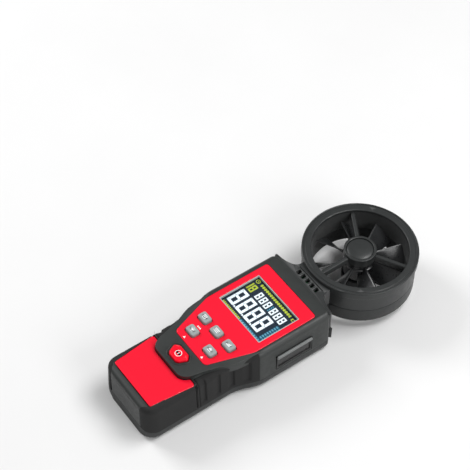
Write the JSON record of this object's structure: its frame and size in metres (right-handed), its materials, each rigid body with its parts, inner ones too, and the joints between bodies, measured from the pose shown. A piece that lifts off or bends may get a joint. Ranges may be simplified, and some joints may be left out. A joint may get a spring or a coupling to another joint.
{
  "type": "handheld vane anemometer",
  "caption": "Handheld vane anemometer: a flat body with a display, keys and rubber side grips, and a round guarded head with a free-turning impeller.",
  "frame": {"origin": "centre of the bounding box in plan, at the height of the flat back that it rests on", "axes": "+X to the right of the face, +Y from the handle towards the vane head, +Z out of the face"},
  "size_m": [0.072, 0.2076, 0.034],
  "materials": {
    "shell_grey": "fine-textured moulded plastic, satin",
    "back_grey": "fine-textured moulded plastic, matte",
    "grip_rubber": "soft-touch rubber, satin",
    "panel_red": "bright red satin panel",
    "clear_window": "clear hard-coated window",
    "lcd_black": "dark display glass with light segments",
    "light_white": "translucent white light guide",
    "strip_pink": "layered contact rubber",
    "board_green": "solder-masked circuit board",
    "mat_grey": "silicone rubber",
    "key_grey": "light grey moulded key, satin",
    "key_red": "bright red moulded key, satin",
    "part_black": "black moulded part",
    "port_black": "black glossy flap",
    "head_grey": "satin moulded plastic",
    "head_black": "satin moulded plastic",
    "rotor_black": "smooth dark moulded plastic",
    "lead_red": "insulated lead",
    "brass": "turned brass",
    "steel": "bright steel",
    "magnet_steel": "nickel-plated magnet",
    "screw_steel": "zinc-plated steel",
    "cell_green": "printed sleeve on a steel can"
  },
  "bodies": {
    "meter": {"front_shell": "shell_grey", "rear_shell": "back_grey", "grip_left": "grip_rubber", "grip_right": "grip_rubber", "upper_panel": "panel_red", "lower_panel": "panel_red", "display_window": "clear_window", "lcd_panel": "lcd_black", "backlight": "light_white", "contact_strips": "strip_pink", "main_board": "board_green", "keypad_mat": "mat_grey", "buzzer": "part_black", "data_port": "steel", "climate_sensor": "board_green", "vane_front": "head_grey", "vane_rear": "head_black", "hub_cap": "head_grey", "rear_cap": "head_black", "pickup_board": "board_green", "vane_lead": "lead_red", "front_bearing": "brass", "rear_bearing": "brass", "cell_left": "cell_green", "cell_middle": "cell_green", "cell_right": "cell_green", "cell_springs": "steel", "cell_plates": "steel", "case_screws": "screw_steel", "ring_screws": "screw_steel", "tripod_insert": "brass"},
    "rotor": {"impeller": "rotor_black", "impeller_shaft": "steel", "hub_magnets": "magnet_steel"},
    "port_flap": {"port_cover": "port_black"},
    "battery_lid": {"battery_cover": "back_grey"},
    "key_left_body": {"key_left": "key_grey"},
    "key_middle_body": {"key_middle": "key_grey"},
    "key_right_body": {"key_right": "key_grey"},
    "key_low_left_body": {"key_low_left": "key_grey"},
    "key_low_right_body": {"key_low_right": "key_grey"},
    "power_key_body": {"power_key": "key_red"}
  },
  "joints": [
    {"name": "impeller_spin", "type": "hinge", "parent": "meter", "child": "rotor", "pos_m": [0, 0.0678, 0.0196], "axis": [0, 0, 1], "continuous": true},
    {"name": "key_left_press", "type": "slide", "parent": "meter", "child": "key_left_body", "axis": [0, 0, -1], "range_m": [0, 0.0008], "stiffness_N_per_m": 400},
    {"name": "key_middle_press", "type": "slide", "parent": "meter", "child": "key_middle_body", "axis": [0, 0, -1], "range_m": [0, 0.0008], "stiffness_N_per_m": 400},
    {"name": "key_right_press", "type": "slide", "parent": "meter", "child": "key_right_body", "axis": [0, 0, -1], "range_m": [0, 0.0008], "stiffness_N_per_m": 400},
    {"name": "key_low_left_press", "type": "slide", "parent": "meter", "child": "key_low_left_body", "axis": [0, 0, -1], "range_m": [0, 0.0008], "stiffness_N_per_m": 400},
    {"name": "key_low_right_press", "type": "slide", "parent": "meter", "child": "key_low_right_body", "axis": [0, 0, -1], "range_m": [0, 0.0008], "stiffness_N_per_m": 400},
    {"name": "power_key_press", "type": "slide", "parent": "meter", "child": "power_key_body", "axis": [0, 0, -1], "range_m": [0, 0.0008], "stiffness_N_per_m": 400},
    {"name": "port_cover_swing", "type": "hinge", "parent": "meter", "child": "port_flap", "pos_m": [0.0293, -0.0038, 0.01], "axis": [0, 1, 0], "range_deg": [0, 95]},
    {"name": "battery_cover_slide", "type": "slide", "parent": "meter", "child": "battery_lid", "axis": [0, -1, 0], "range_m": [0, 0.066]}
  ]
}
